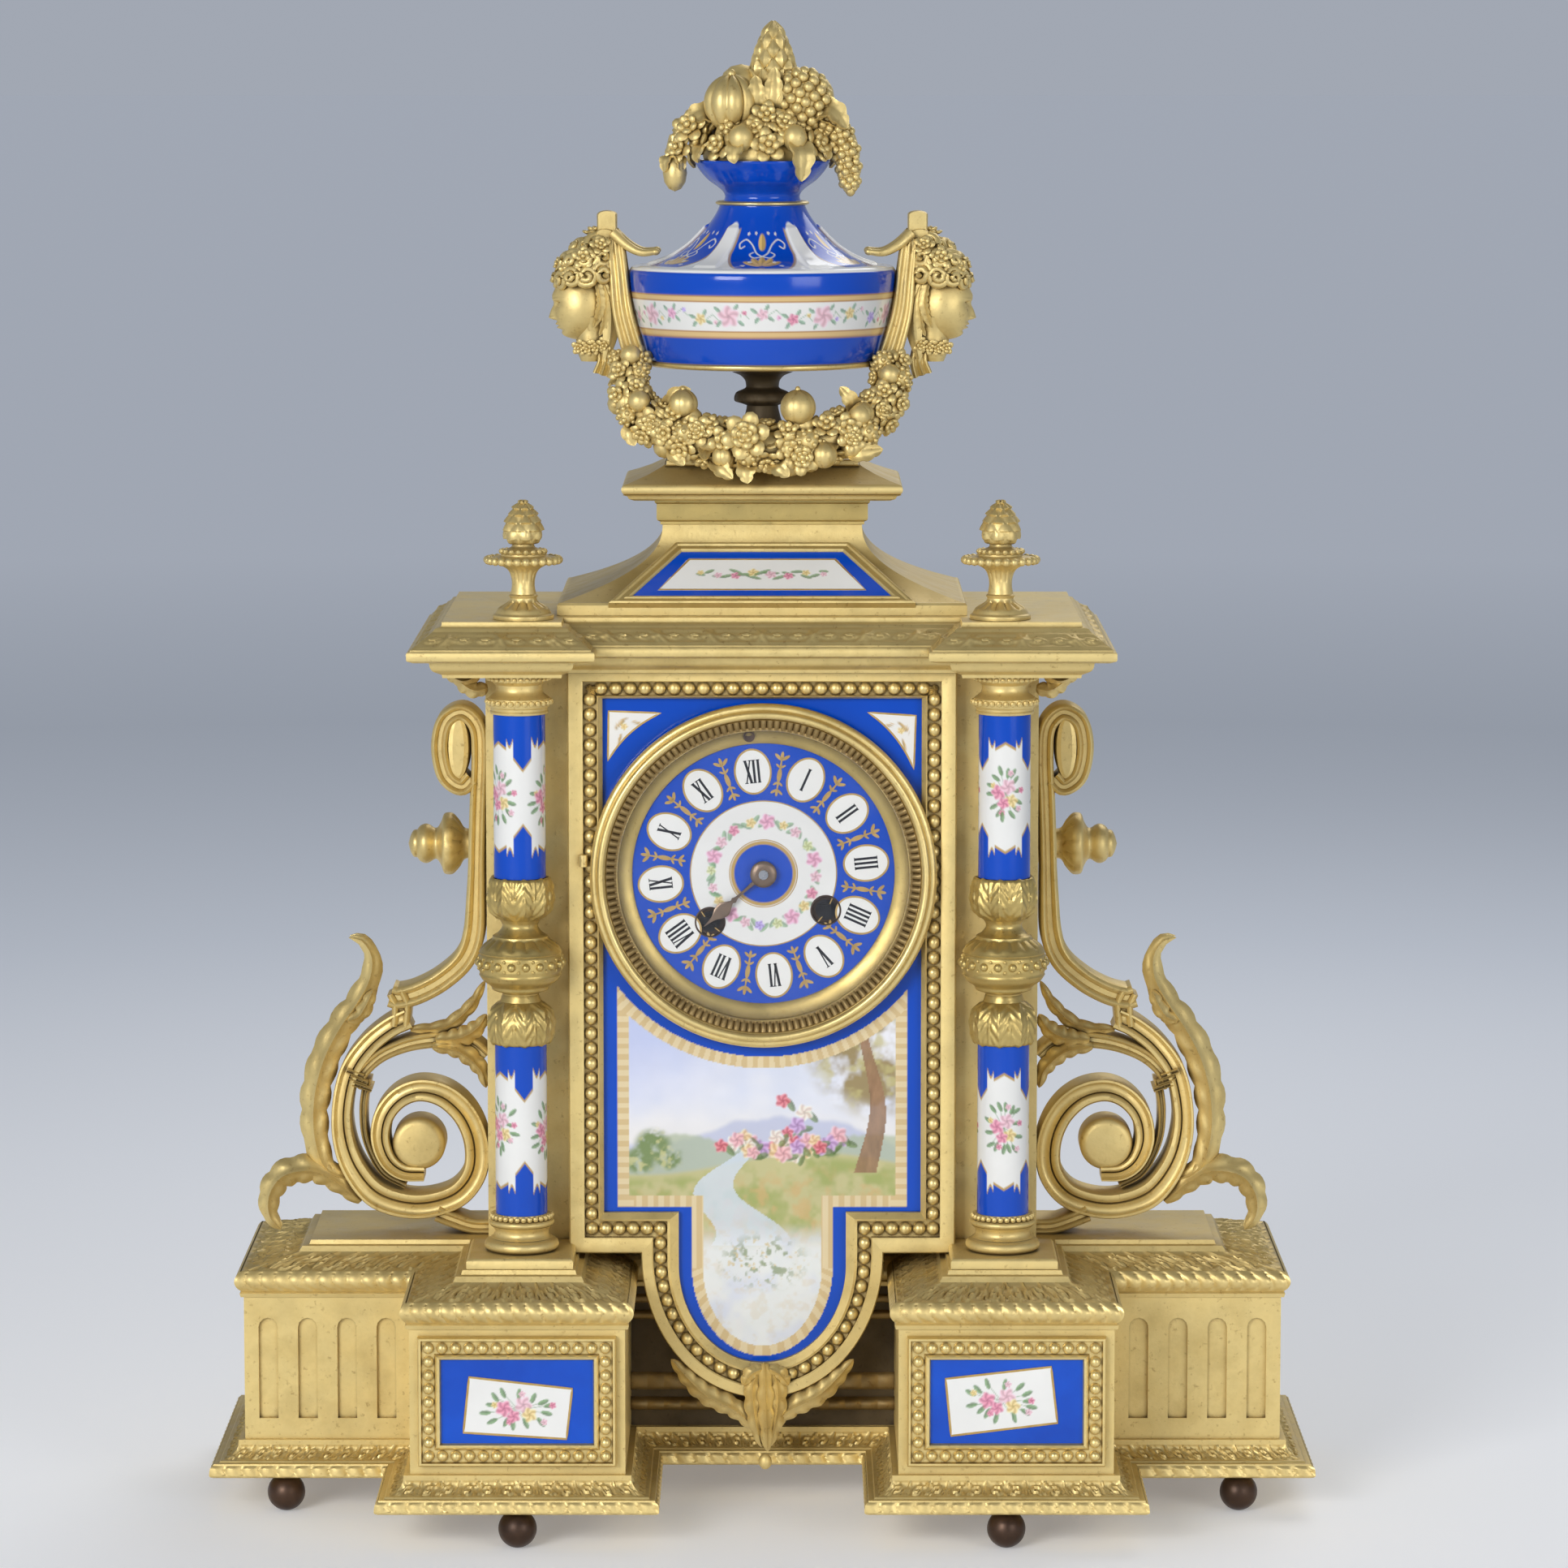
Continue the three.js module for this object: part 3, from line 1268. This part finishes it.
function finial() {
  const h = FINIAL_HEIGHT;
  const z = corniceTop;
  const profile = [
    [0, z],
    [FINIAL_BASE_RADIUS, z],
    [FINIAL_BASE_RADIUS, z + 0.07 * h],
    [0.72 * FINIAL_BASE_RADIUS, z + 0.13 * h],
    [0.45 * FINIAL_BASE_RADIUS, z + 0.2 * h],
    [0.47 * FINIAL_BASE_RADIUS, z + 0.33 * h],
    [0.78 * FINIAL_DISH_RADIUS, z + 0.46 * h],
    [FINIAL_DISH_RADIUS, z + 0.48 * h],
    [FINIAL_DISH_RADIUS, z + 0.53 * h],
    [0.5 * FINIAL_DISH_RADIUS, z + 0.56 * h],
    [0.5 * FINIAL_CONE_RADIUS, z + 0.66 * h],
    [FINIAL_CONE_RADIUS, z + 0.72 * h],
    [0.92 * FINIAL_CONE_RADIUS, z + 0.82 * h],
    [0.4 * FINIAL_CONE_RADIUS, z + 0.95 * h],
    [0, z + h],
  ];
  return turnedUp(profile, 12, [FINIAL_X, COLUMN_Y, 0]);
}

function sideBoss(side) {
  const l = BOSS_LENGTH;
  const r = BOSS_RADIUS;
  const profile = [
    [0, -1],
    [0.6 * r, -1],
    [0.45 * r, 0.12 * l],
    [0.45 * r, 0.38 * l],
    [0.8 * r, 0.42 * l],
    [r, 0.5 * l],
    [r, 0.58 * l],
    [0.5 * r, 0.68 * l],
    [0.62 * r, 0.8 * l],
    [0.4 * r, 0.94 * l],
    [0, l],
  ];
  const boss = lathe(profile, 8).rotateZ((-side * Math.PI) / 2);
  return boss.translate((side * BODY_WIDTH) / 2, BOSS_Y, baseTop + BOSS_HEIGHT);
}

// Side bracket: an upright with a volute at its head, swept out to a large open scroll
function scrollBracket() {
  const x = BODY_WIDTH / 2 + CLEARANCE;
  const z = baseTop;
  const front = SCROLL_Y - SCROLL_DEPTH / 2;
  const back = SCROLL_Y + SCROLL_DEPTH / 2;
  const rise = BODY_HEIGHT - VOLUTE_DROP;
  const size = rise / 155; // the outlines below are drawn with the volute 155 mm over the base
  const at = ([reach, height]) => [x + size * reach, z + size * height];
  const upright = [
    [4.2, 146],
    [4, 128],
    [4, 100],
    [5.7, 91.2],
    [11.7, 83.5],
    [20.7, 78.3],
    [31, 74.5],
  ].map(at);
  const ring = [
    [23, 73],
    [30, 67.8],
    [40, 62.5],
    [47.5, 53],
    [50, 40],
    [49.5, 27],
    [43, 14.5],
    [33.3, 7],
    [23.8, 4.2],
    [13, 6],
    [6, 13],
    [3.4, 23],
    [3.4, 34],
    [7.4, 44],
    [15, 49.5],
    [25, 49],
    [32.5, 43],
    [35.2, 34],
    [33, 25],
    [27, 20.5],
    [20, 22],
  ].map(at);
  const branch = [
    [45, 46],
    [37, 52],
    [27, 57],
    [17, 59],
    [6, 57],
    [2.6, 52],
  ].map(at);
  const volute = ellipse([x + VOLUTE_REACH, z + rise], VOLUTE_HALF_WIDTH, VOLUTE_HALF_HEIGHT, 16);
  const consoleTop = bodyTop - CLEARANCE;
  const console = shapeOf([
    at([2, 160]),
    at([4, 160]),
    [x + 1.45 * VOLUTE_HALF_WIDTH, consoleTop - 1.2],
    [x + 1.45 * VOLUTE_HALF_WIDTH, consoleTop],
    [x, consoleTop],
    at([0, 160]),
  ]);
  const [footEnd, footTop] = at([10, 8]);
  const foot = block([x, front, z + CLEARANCE], [footEnd, back, footTop]);
  const band = size * SCROLL_BAND;
  return join(
    ribbon(upright, 1.4 * band, front, back, 8),
    ribbon(ring, band, front, back, 24),
    ribbon(branch, 0.855 * band, front + 1, back - 1, 7),
    standing(shapeOf(volute), front, back),
    standing(console, front + 1, back - 1),
    rodBack(size * SCROLL_EYE_RADIUS, front - 1, back + 1, at([SCROLL_EYE_X, SCROLL_EYE_RISE]), 12),
    acanthus(at),
    foot,
  );
}

// The long leaf that climbs the outside of the scroll, and the short one at its foot
function acanthus(at) {
  const front = SCROLL_Y - SCROLL_LEAF_DEPTH / 2;
  const back = SCROLL_Y + SCROLL_LEAF_DEPTH / 2;
  const climbing = leafShape([
    [46, 20],
    [53, 26],
    [58.5, 40],
    [57.5, 54],
    [51, 67],
    [45, 78],
    [42, 86],
    [46, 94.5],
    [37.5, 92.5],
    [34, 86],
    [37, 76],
    [45, 64],
    [50, 50],
    [49, 36],
  ].map(at), 22);
  const low = leafShape([
    [44, 22],
    [52, 20.5],
    [62, 21.5],
    [71, 16],
    [73.5, 8],
    [69.5, 0.8],
    [68, 8],
    [62, 14],
    [52, 12],
    [44, 8],
  ].map(at), 16);
  return join(standing(climbing, front, back), standing(low, front, back));
}

// Urn: a turned foot, a wide porcelain belly, a flared cup and a heap of fruit
function urnStem() {
  const h = URN_STEM_HEIGHT;
  const z = stepTop;
  const r = URN_FOOT_RADIUS;
  const profile = [
    [0, z],
    [r, z],
    [r, z + 0.1 * h],
    [0.75 * r, z + 0.2 * h],
    [0.4 * r, z + 0.4 * h],
    [0.32 * r, z + 0.56 * h],
    [0.56 * r, z + 0.62 * h],
    [0.56 * r, z + 0.72 * h],
    [0.34 * r, z + 0.78 * h],
    [0.4 * r, z + 0.9 * h],
    [0.7 * r, z + h],
    [0, z + h],
  ];
  const nut = cupFloor() + 4 * CLEARANCE;
  return join(
    turnedUp(profile, 16, [0, URN_Y, 0]),
    rodUp(ROD_RADIUS, corniceTop - 2, nut + ROD_NUT_HEIGHT, [0, URN_Y], 10),
    rodUp(ROD_NUT_RADIUS, nut, nut + ROD_NUT_HEIGHT - 0.6, [0, URN_Y], 6),
  );
}

// The level of the cup's floor inside, where the urn's rod ends in a nut under the fruit
function cupFloor() {
  return urnNeck + 0.42 * CUP_HEIGHT;
}

function bellyProfile(bore) {
  const r = URN_BELLY_RADIUS;
  const h = URN_BELLY_HEIGHT;
  const s = URN_SHOULDER_HEIGHT;
  const z = bellyBottom;
  return [
    [bore, z],
    [0.7 * r, z + 0.02 * h],
    [0.84 * r, z + 0.1 * h],
    [0.9 * r, z + 0.3 * h],
    [0.96 * r, z + 0.6 * h],
    [r, z + 0.92 * h],
    [0.985 * r, z + h],
    [0.8 * r, bellyTop + 0.14 * s],
    [0.6 * r, bellyTop + 0.3 * s],
    [0.43 * r, bellyTop + 0.56 * s],
    [0.33 * r, bellyTop + 0.85 * s],
    [URN_NECK_RADIUS, urnNeck],
    [bore, urnNeck],
  ];
}

function urnBelly() {
  const wall = CASE_WALL;
  const r = URN_BELLY_RADIUS - wall;
  const bore = ROD_RADIUS + CLEARANCE;
  const outer = bellyProfile(bore);
  const inner = [
    [URN_NECK_RADIUS - wall, urnNeck],
    [URN_NECK_RADIUS - wall, urnNeck - wall],
    [0.42 * r, bellyTop + 0.36 * URN_SHOULDER_HEIGHT],
    [0.9 * r, bellyTop - 1],
    [0.82 * r, bellyBottom + 0.2 * URN_BELLY_HEIGHT],
    [0.7 * r, bellyBottom + wall],
    [bore, bellyBottom + wall],
  ];
  return turnedUp([...outer.slice(0, -1), ...inner, outer[0]], 22, [0, URN_Y, 0]);
}

// The cup's outer wall and hollow, both thickened by a margin when the cup cuts a neighbour
function cupProfile(margin) {
  const z = urnNeck;
  const h = CUP_HEIGHT;
  const n = URN_NECK_RADIUS;
  const r = CUP_RIM_RADIUS;
  return [
    [0, z - margin],
    [n + margin, z - margin],
    [n + 0.6 + margin, z + 0.16 * h],
    [0.76 * r + margin, z + 0.5 * h],
    [r + margin, z + 0.94 * h],
    [r + margin, z + h + margin],
    [r - CUP_WALL - margin, z + h + margin],
    [0.74 * r - CUP_WALL - margin, z + 0.5 * h + margin],
    [0, cupFloor() + margin],
  ];
}

function urnCup() {
  const bore = rodUp(ROD_RADIUS + CLEARANCE, urnNeck - 1, cupTop, [0, URN_Y]);
  return cut(turnedUp(cupProfile(0), 20, [0, URN_Y, 0]), bore);
}

function fruit() {
  const r = FRUIT_RADIUS;
  const h = FRUIT_HEIGHT;
  const z = cupTop;
  const place = (x, y, up) => [x * r, URN_Y + y * r, z + up * h];
  const plug = turnedUp([[0, z - 3], [0.4 * r, z - 3], [0.55 * r, z + 4], [0, z + 4]], 14, [0, URN_Y, 0]);
  const lumps = [
    lump(place(0.12, 0, 0.68), [0.22 * r, 0.22 * r, 0.32 * h]),
    lump(place(-0.38, -0.18, 0.42), [0.3 * r, 0.3 * r, 0.22 * h]),
    lump(place(0.45, -0.2, 0.42), [0.33 * r, 0.3 * r, 0.2 * h]),
    lump(place(0, -0.35, 0.16), [0.5 * r, 0.34 * r, 0.16 * h]),
    lump(place(-0.72, 0, 0.12), [0.28 * r, 0.3 * r, 0.18 * h]),
    lump(place(0.72, 0, 0.14), [0.3 * r, 0.3 * r, 0.2 * h]),
    lump(place(0, 0.35, 0.28), [0.55 * r, 0.4 * r, 0.28 * h]),
    lump(place(-0.84, -0.05, -0.1), [0.17 * r, 0.2 * r, 0.16 * h], 0),
    lump(place(0.86, -0.05, -0.08), [0.17 * r, 0.2 * r, 0.16 * h], 0),
    lump(place(0.26, -0.5, 0.02), [0.26 * r, 0.22 * r, 0.13 * h], 0),
  ];
  return cut(join(plug, ...lumps), turnedUp(cupProfile(CLEARANCE), 20, [0, URN_Y, 0]));
}

// A head on each side of the urn, facing outwards, with a headdress and long lappets
function mask() {
  const [rx, ry, rz] = MASK_HEAD;
  const x = URN_BELLY_RADIUS + MASK_STAND;
  const z = bellyBottom + MASK_RISE;
  const pieces = [
    lump([x, URN_Y, z], [rx, ry, rz]),
    lump([x - 0.3 * rx, URN_Y, z + 0.8 * rz], [rx, 1.05 * ry, 0.6 * rz]),
    block([x - 1.1 * rx, URN_Y - 3, z + 0.9 * rz], [x - 0.4 * rx, URN_Y + 3, z + 1.65 * rz]),
    lump([x - 0.4 * rx, URN_Y, z - 1.35 * rz], [0.95 * rx, 0.95 * ry, 0.66 * rz], 0),
  ];
  for (const side of [-1, 1]) {
    const at = (back, up) => [x - back * rx, URN_Y + side * 0.85 * ry, z + up * rz];
    pieces.push(bar([at(0.9, 0.8), at(1.1, -0.4), at(0.7, -1.6)], 2.4, 3, 5));
    pieces.push(bar([at(0.8, 0.9), at(1.6, 0.75), at(2.9, 0.62)], 1.7, 3, 5));
  }
  return cut(join(...pieces), urnEnvelope());
}

// The belly and shoulder with a running clearance all round, which cuts what touches them
function urnEnvelope() {
  const grown = bellyProfile(0).map(([r, z]) => [r ? r + CLEARANCE : 0, z]);
  grown[0][1] -= CLEARANCE;
  return turnedUp([...grown.slice(0, -1), [0, urnNeck + CLEARANCE]], 22, [0, URN_Y, 0]);
}

function garland() {
  const maskX = URN_BELLY_RADIUS + MASK_STAND - 0.4 * MASK_HEAD[0];
  const maskZ = bellyBottom + MASK_RISE - 2.15 * MASK_HEAD[2];
  const low = platformTop + 0.99 * GARLAND_RADIUS;
  const r = URN_BELLY_RADIUS;
  const path = new THREE.CatmullRomCurve3([
    new THREE.Vector3(-0.98 * maskX, URN_Y - 0.213 * r, maskZ),
    new THREE.Vector3(-0.72 * maskX, URN_Y - 0.521 * r, low + 0.284 * r),
    new THREE.Vector3(-0.35 * maskX, URN_Y - 0.711 * r, low + 0.071 * r),
    new THREE.Vector3(0, URN_Y - 0.735 * r, low),
    new THREE.Vector3(0.35 * maskX, URN_Y - 0.711 * r, low + 0.071 * r),
    new THREE.Vector3(0.72 * maskX, URN_Y - 0.521 * r, low + 0.284 * r),
    new THREE.Vector3(0.98 * maskX, URN_Y - 0.213 * r, maskZ),
  ]);
  const lumps = [];
  for (let step = 0; step <= GARLAND_LUMPS; step++) {
    const share = step / GARLAND_LUMPS;
    const { x, y, z } = path.getPointAt(share);
    const thick = GARLAND_RADIUS * (0.62 + 0.38 * Math.sin(Math.PI * share)) * (step % 2 ? 0.86 : 1);
    lumps.push(lump([x, y, z], [thick, thick, thick], step % 2 ? 0 : 1));
  }
  const rest = platformTop + CLEARANCE;
  const floor = block([-100, URN_Y - 60, rest - 40], [100, URN_Y + 20, rest]);
  const across = STEP_WIDTH / 2 + 1;
  const along = STEP_DEPTH / 2 + 1;
  const slope = moulding(rectangle([-across, across], [ROOF_Y - along, ROOF_Y + along]), [
    [(PLATFORM_WIDTH - STEP_WIDTH) / 2, platformTop - 1],
    [CLEARANCE, stepTop - 1.4],
    [CLEARANCE, stepTop + CLEARANCE],
  ]);
  const masks = [mask(), mask().scale(-1, 1, 1)].map((geometry, index) => {
    const centre = [(index ? -1 : 1) * (URN_BELLY_RADIUS + MASK_STAND), URN_Y, bellyBottom + MASK_RISE];
    return grown(geometry, centre, 1.05, index === 1);
  });
  return cut(join(...lumps), floor, slope, urnEnvelope(), ...masks);
}

// A copy enlarged about a point, turned right side out again where it was mirrored
function grown(geometry, [x, y, z], factor, mirrored) {
  const copy = geometry.index ? geometry.toNonIndexed() : geometry.clone();
  copy.translate(-x, -y, -z).scale(factor, factor, factor).translate(x, y, z);
  if (mirrored) {
    const { array } = copy.attributes.position;
    for (let i = 0; i < array.length; i += 9) {
      const first = array.slice(i, i + 3);
      array.copyWithin(i, i + 3, i + 6);
      array.set(first, i + 3);
    }
  }
  return copy;
}

addPair("front_foot", pedestalFoot, BROWN);
addPair("wing_foot", wingFoot, BROWN);
addPair("back_foot", backFoot, BROWN);
add("base_skirt", baseSkirt(), GILT);
add("base_block", baseBlock(), GILT);
addPair("pedestal", pedestal, GILT);
addPair("pedestal_plaque", pedestalPlaque, WHITE_PORCELAIN);
add("base_cap", baseCap(), GILT);
add("body_shell", join(bodyShell(), sideBoss(-1), sideBoss(1), ...backHinge()), GILT);
add("front_frame", frontFrame(), GILT);
add("front_panel", frontPanel(), BLUE_PORCELAIN);
add("dial", dial(), BLUE_PORCELAIN);
add("dial_surround", dialSurround(), GILT);
add("bezel", bezel(), GILT);
add("bezel_glass", bezelGlass(), GLASS);
add("hour_hand", hourHand(), BROWN);
add("movement_front_plate", frontPlate(), BRASS);
add("movement_back_plate", backPlate(), BRASS);
add("strike_barrel", barrel(leftWinder), BRASS);
add("going_barrel", barrel(rightWinder), BRASS);
add("strike_winder", winder(leftWinder), STEEL);
add("going_winder", winder(rightWinder), STEEL);
add("minute_arbor", minuteArbor(), BRASS);
add("hour_wheel", hourWheel(), BRASS);
add("escape_wheel", escapeWheel(), BRASS);
add("anchor", anchor(), STEEL);
add("pendulum", pendulum(), BRASS);
add("regulator", regulator(), STEEL);
add("hammer", hammer(), STEEL);
add("bell", bell(), BRASS);
add("back_door", backDoor(), BRASS);
addPair("column_base", columnBase, GILT);
addPair("lower_sleeve", lowerSleeve, WHITE_PORCELAIN);
addPair("column_knop", knop, GILT);
addPair("upper_sleeve", upperSleeve, WHITE_PORCELAIN);
addPair("capital", capital, GILT);
add("cornice", cornice(), GILT);
addPair("finial", finial, GILT);
addPair("scroll_bracket", scrollBracket, GILT);
add("roof", roof(), GILT);
add("roof_plaque", roofPlaque(), WHITE_PORCELAIN);
add("urn_stem", urnStem(), GILT);
add("urn_belly", urnBelly(), WHITE_PORCELAIN);
add("urn_cup", urnCup(), BLUE_PORCELAIN);
add("fruit", fruit(), GILT);
addPair("mask", mask, GILT);
add("garland", garland(), GILT);

export default part;
